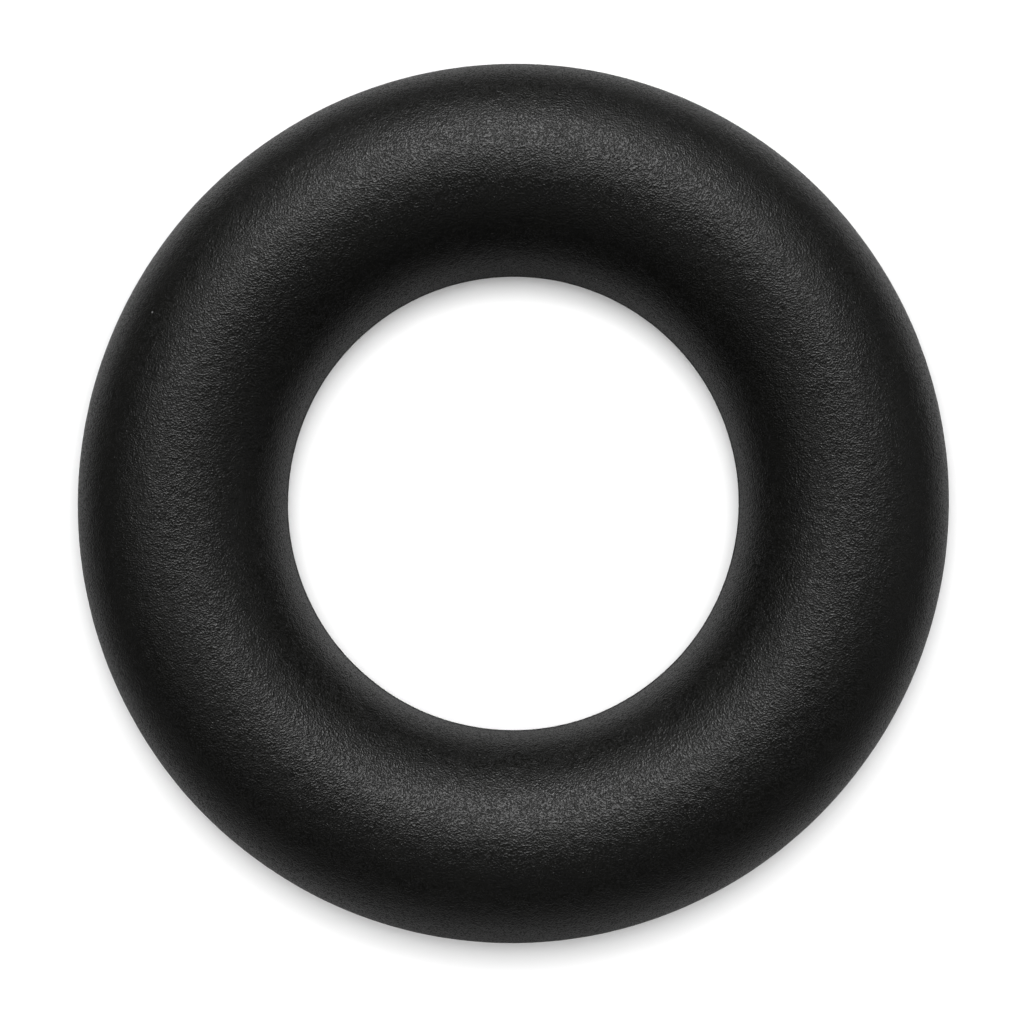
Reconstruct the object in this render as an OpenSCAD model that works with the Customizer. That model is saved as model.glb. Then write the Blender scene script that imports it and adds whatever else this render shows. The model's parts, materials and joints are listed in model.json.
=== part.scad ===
// Rubber o-ring: one ring of round section, moulded between two mould halves that met on its mid-plane.
// The mould's joint left a fine trimmed ridge round the bore wall and round the outside wall.
// The origin is the ring's centre on its mid-plane, +Z runs along its axis, and lengths are in millimetres.

/* [Ring] */
// Inside diameter of the round section's ring, as moulded and unstretched
inside_d = 7.52; // [3:0.01:60]
// Diameter of the round section
section_d = 3.53; // [1.5:0.01:8]

/* [Parting ridge] */
// Width of the ridge's trimmed land, along the ring's axis
land_w = 0.1; // [0.06:0.01:0.16]
// How far the land stands proud of the round section
ridge_h = 0.01; // [0.008:0.001:0.03]
// Slope of the ridge's flanks, in degrees from the radial direction
flank_slope = 45; // [10:1:50]

/* [Hidden] */
rubber_black = "#1e1d1c";
section_r = section_d / 2;
// Radius of the circle that the section's centre follows
centreline_r = inside_d / 2 + section_r;
// How deep under the round surface the flanks run on, so that they cross it and end inside the rubber
root_depth = 2 * ridge_h;
root_w = land_w + 2 * (ridge_h + root_depth) * tan(flank_slope);
$fa = 3;
$fs = 0.08;

// One of the section's two ridges, on the +X side of the round section
module ridge_profile() {
    land_x = section_r + ridge_h;
    root_x = section_r - root_depth;
    polygon([
        [root_x, -root_w / 2],
        [land_x, -land_w / 2],
        [land_x, land_w / 2],
        [root_x, root_w / 2],
    ]);
}

// The section that is cut across the ring: the moulded round with its two parting ridges
module ring_section() {
    circle(d = section_d);
    for (side = [0, 180])
        rotate(side) ridge_profile();
}

// The whole ring, one solid piece of rubber
module o_ring() {
    color(rubber_black)
        rotate_extrude()
            translate([centreline_r, 0])
                ring_section();
}

o_ring();
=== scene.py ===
"""A black rubber o-ring lying on a white table, seen from straight above.

The ring is one mesh, worked out from the CAD's own mounts: a round section with the mould's parting ridge,
carried round a circle. Its grain, mottling and dust are in the material. Lengths are in metres.
"""
import json
import math

import bpy
import numpy as np
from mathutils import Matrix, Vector, noise

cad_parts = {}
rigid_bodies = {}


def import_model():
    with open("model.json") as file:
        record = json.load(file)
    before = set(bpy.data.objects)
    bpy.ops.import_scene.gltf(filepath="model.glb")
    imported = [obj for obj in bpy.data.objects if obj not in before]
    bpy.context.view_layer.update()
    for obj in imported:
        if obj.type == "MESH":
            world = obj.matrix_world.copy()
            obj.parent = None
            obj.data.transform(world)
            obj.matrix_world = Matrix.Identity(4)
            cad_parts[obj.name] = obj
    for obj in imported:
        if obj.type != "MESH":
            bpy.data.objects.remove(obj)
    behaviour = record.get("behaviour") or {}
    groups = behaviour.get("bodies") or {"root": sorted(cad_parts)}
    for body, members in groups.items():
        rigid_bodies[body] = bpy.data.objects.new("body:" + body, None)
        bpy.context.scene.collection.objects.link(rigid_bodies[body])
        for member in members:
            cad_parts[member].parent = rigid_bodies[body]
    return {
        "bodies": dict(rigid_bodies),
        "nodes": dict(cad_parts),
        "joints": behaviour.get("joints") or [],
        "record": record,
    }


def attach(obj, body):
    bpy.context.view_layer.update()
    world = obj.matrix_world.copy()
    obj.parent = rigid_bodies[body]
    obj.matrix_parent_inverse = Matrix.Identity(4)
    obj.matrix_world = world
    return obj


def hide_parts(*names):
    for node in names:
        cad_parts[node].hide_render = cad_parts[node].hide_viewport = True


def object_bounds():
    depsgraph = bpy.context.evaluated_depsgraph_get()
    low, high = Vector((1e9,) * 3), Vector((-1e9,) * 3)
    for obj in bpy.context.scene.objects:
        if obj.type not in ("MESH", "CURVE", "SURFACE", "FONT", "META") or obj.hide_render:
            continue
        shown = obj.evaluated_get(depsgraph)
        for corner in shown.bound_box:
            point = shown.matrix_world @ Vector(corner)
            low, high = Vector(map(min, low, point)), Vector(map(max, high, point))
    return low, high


MM = 0.001
FRAME_PX = 1024

# The photograph's framing: scale at the ring's mid-plane, and where the ring's centre lies in the picture
PX_PER_MM = 60.0
RING_CENTRE_PX = (513.35, 503.45)
CAMERA_HEIGHT = 45 * MM
SENSOR = 36.0
CLIP_START = 1 * MM

# The moulded ring, beside what the CAD's mounts give. The mesh is finer up to RIDGE_REACH past the ridge's land.
RIDGE_H = 0.01 * MM
RIDGE_FLANK = 0.018 * MM
RIDGE_REACH = 1.6 * RIDGE_FLANK
STEPS_ROUND = 640
STEPS_ARC = 60
STEPS_RIDGE = 14

# The ring as it lies: slimmer across its section than the mould's, and out of round by a two-lobed swell of its
# centreline and of its section, in this direction in degrees
SECTION_SLIM = 0.0184 * MM
OUT_OF_ROUND = 0.0248 * MM
SECTION_SWELL = 0.012 * MM
SWELL_DIRECTION = 79.0

# The moulded skin isn't quite even: how far it rises and falls, and over what length
WAVES = ((0.0035 * MM, 1.5 * MM), (0.0010 * MM, 0.45 * MM))

# The skin's relief. Each scale is in noise cells per metre, and the warp draws the wrinkles out and turns them.
WARP_SCALE = 3200.0
WARP_REACH = 0.11 * MM
WRINKLE_SCALE = 36500.0
WRINKLE_TWIST = 0.4
LUMP_SCALE = 9000.0
LUMP_SHARE = 0.8
RELIEF = 0.0105 * MM

# The skin's roughness, which goes from that of the wrinkles' valleys to that of their tops over this span of their
# noise, and what the dullest patches add to it
VALLEY_SPAN = (0.36, 0.46)
VALLEY_ROUGHNESS = 0.62
TOP_ROUGHNESS = 0.285
PATCH_ROUGHNESS = 0.03
PATCH_SCALE = 1400.0
PATCH_GRAIN = 0.55
PATCH_SPAN = (0.3, 0.7)

# The rubber's tone where its black filler lies thickest and thinnest, the share of it that blue has, and the few
# light specks of dust on the skin
FILLER_TONES = (0.0008, 0.0016)
FILLER_BLUE = 0.4
DUST_SCALE = 900.0
DUST_EDGE = (0.012, 0.022)
DUST_GREY = 0.2

# Softboxes: name, tilt from overhead, azimuth from the picture's top, half width, half height (degrees), distance,
# light. The table is lit apart from the ring, as white backgrounds are, and mostly by lamps close to it.
FAR = 1.0
CLOSE = 45 * MM
RING_LAMPS = (
    ("key", 42.5, 0, 9.5, 5.7, FAR, 0.91),
    ("strip", 23.5, 0, 28, 5, FAR, 1.24),
    ("far_fill", 66, 0, 40, 8, FAR, 0.46),
    ("left_fill", 35, 270, 14, 8, FAR, 0.17),
    ("right_fill", 35, 90, 14, 8, FAR, 0.07),
    ("left_shoulder", 42, 302, 9, 8, FAR, 0.045),
    ("right_shoulder", 42, 58, 9, 8, FAR, 0.05),
    ("left_rim", 72, 270, 20, 8, FAR, 0.03),
    ("right_rim", 72, 90, 20, 8, FAR, 0.10),
    ("near_fill", 37, 180, 20, 14, FAR, 0.075),
)
TABLE_LAMPS = (
    ("table_key", 9, 0, 14, 11.3, CLOSE, 3.35),
    ("table_top", 2, 0, 3.4, 3.4, CLOSE, 0.42),
    ("table_back", 7, 180, 8, 5.7, CLOSE, 0.56),
    ("table_sky", 0, 0, 70, 70, FAR, 13.2),
)
TABLE_SIDE = 0.3
TABLE_WHITE = 0.85
TABLE_ROUGHNESS = 0.9

# What the rubber reflects of the room, and of the table beneath it. The glow of the table's far, left and right
# sides falls off from the steep directions, which end close by, to the shallow ones.
ROOM_LIGHT = 0.065
GLOW_FAR = 0.94
GLOW_LEFT = 0.71
GLOW_RIGHT = 0.76
GLOW_NEAR = 0.4
GLOW_FALL = 0.1
GLOW_STEEP = -0.73
GLOW_SHALLOW = -0.43


def load_frame():
    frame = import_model()
    return frame, [[round(c, 6) for c in corner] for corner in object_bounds()]


def mount_of(frame, name):
    return next(m for m in frame["record"]["mounts"] if m["name"] == name)


def ring_sizes(frame):
    bore = mount_of(frame, "shaft_bore")["dims"]
    wall = mount_of(frame, "housing_wall")["dims"]
    bore_r, wall_r = bore["r_mm"] * MM, wall["r_mm"] * MM
    return {
        "centreline_r": (wall_r + bore_r) / 2,
        "section_r": (wall_r - bore_r) / 2 - RIDGE_H,
        "land_half": bore["length_mm"] * MM / 2,
    }


def section_angles(size):
    """Angles round the section, closer together where the parting ridge stands out of it."""
    foot = math.asin((size["land_half"] + RIDGE_REACH) / size["section_r"])
    outer = np.linspace(-foot, foot, STEPS_RIDGE, endpoint=False)
    upper = np.linspace(foot, math.pi - foot, STEPS_ARC, endpoint=False)
    inner = np.linspace(math.pi - foot, math.pi + foot, STEPS_RIDGE, endpoint=False)
    lower = np.linspace(math.pi + foot, 2 * math.pi - foot, STEPS_ARC, endpoint=False)
    return np.concatenate([outer, upper, inner, lower])


def ridge_profile(z, land_half):
    """Height of the ridge at z above the mid-plane, from 0 at its foot to 1 on its land."""
    t = np.clip((land_half + RIDGE_FLANK - np.abs(z)) / RIDGE_FLANK, 0.0, 1.0)
    return t * t * (3 - 2 * t)


def wave_height(point):
    return sum(height * noise.noise(Vector(point) / length) for height, length in WAVES)


def build_ring(size):
    around = np.linspace(0, 2 * math.pi, STEPS_ROUND, endpoint=False)
    section = section_angles(size)
    swell = np.cos(2 * (around - math.radians(SWELL_DIRECTION)))
    centre_r = size["centreline_r"] + OUT_OF_ROUND * swell
    half = size["section_r"] - SECTION_SLIM + SECTION_SWELL * swell
    x = half[:, None] * np.cos(section)[None, :]
    z = np.broadcast_to(size["section_r"] * np.sin(section), x.shape)
    ridge = RIDGE_H * ridge_profile(z, size["land_half"]) * np.sign(np.cos(section))[None, :]
    r = centre_r[:, None] + x + ridge
    c, s = np.cos(around)[:, None], np.sin(around)[:, None]
    points = np.stack([r * c, r * s, z], axis=-1).reshape(-1, 3)
    outward = np.stack([np.cos(section) * c, np.cos(section) * s, np.sin(section) + 0 * c], axis=-1)
    points += outward.reshape(-1, 3) * np.array([wave_height(p) for p in points])[:, None]

    n, m = STEPS_ROUND, len(section)
    i, j = np.meshgrid(np.arange(n), np.arange(m), indexing="ij")
    i2, j2 = (i + 1) % n, (j + 1) % m
    quads = np.stack([i * m + j, i2 * m + j, i2 * m + j2, i * m + j2], axis=-1)
    mesh = bpy.data.meshes.new("moulded_ring")
    mesh.from_pydata(points.tolist(), [], quads.reshape(-1, 4).tolist())
    mesh.shade_smooth()
    ring = bpy.data.objects.new("moulded_ring", mesh)
    bpy.context.scene.collection.objects.link(ring)
    return ring


class Nodes:
    """The node tree of a material or world, with short calls that add and join its nodes."""

    def __init__(self, owner, shader="Principled BSDF"):
        owner.use_nodes = True
        self.owner = owner
        self.tree = owner.node_tree
        self.shader = self.tree.nodes[shader]

    def add(self, kind, **values):
        node = self.tree.nodes.new("ShaderNode" + kind)
        for name, value in values.items():
            if hasattr(node, name):
                setattr(node, name, value)
            else:
                self.set(node, name.replace("_", " ").title(), value)
        return node

    def set(self, node, name, value):
        if isinstance(value, bpy.types.NodeSocket):
            self.tree.links.new(value, node.inputs[name])
        else:
            node.inputs[name].default_value = value

    def math(self, operation, *values):
        node = self.add("Math", operation=operation)
        for n, value in enumerate(values):
            self.set(node, n, value)
        return node.outputs[0]

    def mapped(self, value, low, high, to_low, to_high):
        node = self.add("MapRange")
        names = ("Value", "From Min", "From Max", "To Min", "To Max")
        for name, v in zip(names, (value, low, high, to_low, to_high)):
            self.set(node, name, v)
        return node.outputs[0]


def rubber_material():
    m = Nodes(bpy.data.materials.new("black_rubber"))
    place = m.add("TexCoord").outputs["Object"]

    # Wrinkles about 0.06 mm apart, drawn out and turned by a wider warp, over shallow lumps
    warp = m.add("TexNoise", Vector=place, Scale=WARP_SCALE, Detail=1.0).outputs["Color"]
    shift = m.add("VectorMath", operation="MULTIPLY_ADD")
    m.set(shift, 0, warp)
    m.set(shift, 1, (WARP_REACH, WARP_REACH, WARP_REACH))
    m.set(shift, 2, place)
    grain = m.add("TexNoise", Vector=shift.outputs[0], Scale=WRINKLE_SCALE, Detail=0.0, Distortion=WRINKLE_TWIST)
    wrinkles = grain.outputs["Fac"]
    lumps = m.add("TexNoise", Vector=place, Scale=LUMP_SCALE, Detail=1.0).outputs["Fac"]
    height = m.math("MULTIPLY_ADD", lumps, LUMP_SHARE, wrinkles)
    bump = m.add("Bump", Height=height, Distance=RELIEF, Strength=1.0)

    # The skin shines least in the wrinkles' valleys, and is duller in places
    patches = m.add("TexNoise", Vector=place, Scale=PATCH_SCALE, Detail=3.0, Roughness=PATCH_GRAIN).outputs["Fac"]
    valleys = m.mapped(wrinkles, *VALLEY_SPAN, VALLEY_ROUGHNESS, TOP_ROUGHNESS)
    m.set(m.shader, "Roughness", m.math("ADD", valleys, m.mapped(patches, *PATCH_SPAN, 0.0, PATCH_ROUGHNESS)))

    # Black filler isn't spread quite evenly, and a few specks of dust lie on the skin
    shade = m.mapped(patches, *PATCH_SPAN, *FILLER_TONES)
    specks = m.add("TexVoronoi", Vector=place, Scale=DUST_SCALE).outputs["Distance"]
    dust = m.mapped(specks, *DUST_EDGE, DUST_GREY, 0.0)
    dusty = m.math("ADD", shade, dust)
    tone = m.add("CombineColor", Red=dusty, Green=dusty)
    m.set(tone, "Blue", m.math("MULTIPLY_ADD", shade, FILLER_BLUE, dust))
    m.set(m.shader, "Base Color", tone.outputs[0])
    m.set(m.shader, "Normal", bump.outputs["Normal"])
    return m.owner


def build_table(size):
    half, z = TABLE_SIDE / 2, -size["section_r"]
    mesh = bpy.data.meshes.new("table")
    corners = [(-half, -half, z), (half, -half, z), (half, half, z), (-half, half, z)]
    mesh.from_pydata(corners, [], [(0, 1, 2, 3)])
    table = bpy.data.objects.new("table", mesh)
    bpy.context.scene.collection.objects.link(table)
    m = Nodes(bpy.data.materials.new("white_table"))
    m.set(m.shader, "Base Color", (TABLE_WHITE, TABLE_WHITE, TABLE_WHITE, 1))
    m.set(m.shader, "Roughness", TABLE_ROUGHNESS)
    m.set(m.shader, "Specular IOR Level", 0.0)
    mesh.materials.append(m.owner)
    table.visible_glossy = False
    return table


def add_camera():
    data = bpy.data.cameras.new("camera")
    data.sensor_width = SENSOR
    data.lens = SENSOR * CAMERA_HEIGHT / (FRAME_PX / PX_PER_MM * MM)
    data.clip_start = CLIP_START
    camera = bpy.data.objects.new("camera", data)
    middle = FRAME_PX / 2
    x = (middle - RING_CENTRE_PX[0]) / PX_PER_MM * MM
    y = (RING_CENTRE_PX[1] - middle) / PX_PER_MM * MM
    camera.location = (x, y, CAMERA_HEIGHT)
    bpy.context.scene.collection.objects.link(camera)
    bpy.context.scene.camera = camera


def add_softbox(name, tilt, azimuth, half_width, half_height, distance, light, lit):
    """A soft lamp aimed at the ring, which lights only the objects in the collection lit."""
    t, a = math.radians(tilt), math.radians(azimuth)
    toward = Vector((math.sin(t) * math.sin(a), math.sin(t) * math.cos(a), math.cos(t)))
    data = bpy.data.lights.new(name, "AREA")
    data.shape = "RECTANGLE" if distance == FAR else "ELLIPSE"
    data.size = 2 * distance * math.tan(math.radians(half_width))
    data.size_y = 2 * distance * math.tan(math.radians(half_height))
    data.energy = math.pi * light * distance ** 2
    lamp = bpy.data.objects.new(name, data)
    lamp.location = toward * distance
    lamp.visible_camera = False
    lamp.rotation_euler = toward.to_track_quat("Z", "Y").to_euler()
    lamp.light_linking.receiver_collection = lit
    bpy.context.scene.collection.objects.link(lamp)


def add_lights(ring, table):
    for thing, lamps in ((ring, RING_LAMPS), (table, TABLE_LAMPS)):
        lit = bpy.data.collections.new("lit_" + thing.name)
        lit.objects.link(thing)
        for lamp in lamps:
            add_softbox(*lamp, lit)


def add_room():
    """The dim room and glowing table that the rubber reflects, with white where the camera looks past the table."""
    w = Nodes(bpy.data.worlds.new("room"), "Background")
    toward = w.add("SeparateXYZ", Vector=w.add("TexCoord").outputs["Generated"])
    x, y, z = toward.outputs
    far = w.math("MULTIPLY", w.math("MAXIMUM", y, 0.0), GLOW_FAR)
    nearward = w.math("MAXIMUM", w.math("MULTIPLY", y, -1.0), 0.0)
    near = w.math("MULTIPLY", w.math("POWER", nearward, 2.0), GLOW_NEAR)
    side = w.math("MAXIMUM", w.math("MULTIPLY", x, GLOW_RIGHT), w.math("MULTIPLY", x, -GLOW_LEFT))
    fall = w.mapped(z, GLOW_STEEP, GLOW_SHALLOW, 1.0, GLOW_FALL)
    glow = w.math("ADD", w.math("MULTIPLY", w.math("ADD", far, side), fall), near)
    reflected = w.mapped(w.math("GREATER_THAN", z, 0.0), 0.0, 1.0, glow, ROOM_LIGHT)
    w.set(w.shader, "Color", (1, 1, 1, 1))
    seen = w.add("LightPath").outputs["Is Camera Ray"]
    w.set(w.shader, "Strength", w.mapped(seen, 0.0, 1.0, reflected, 1.0))
    bpy.context.scene.world = w.owner


def main():
    frame, cad_box = load_frame()
    size = ring_sizes(frame)
    add_camera()
    ring = build_ring(size)
    ring.data.materials.append(rubber_material())
    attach(ring, "root")
    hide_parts("o_ring")
    table = build_table(size)
    add_lights(ring, table)
    add_room()
    bpy.context.scene.view_settings.view_transform = "Standard"


main()
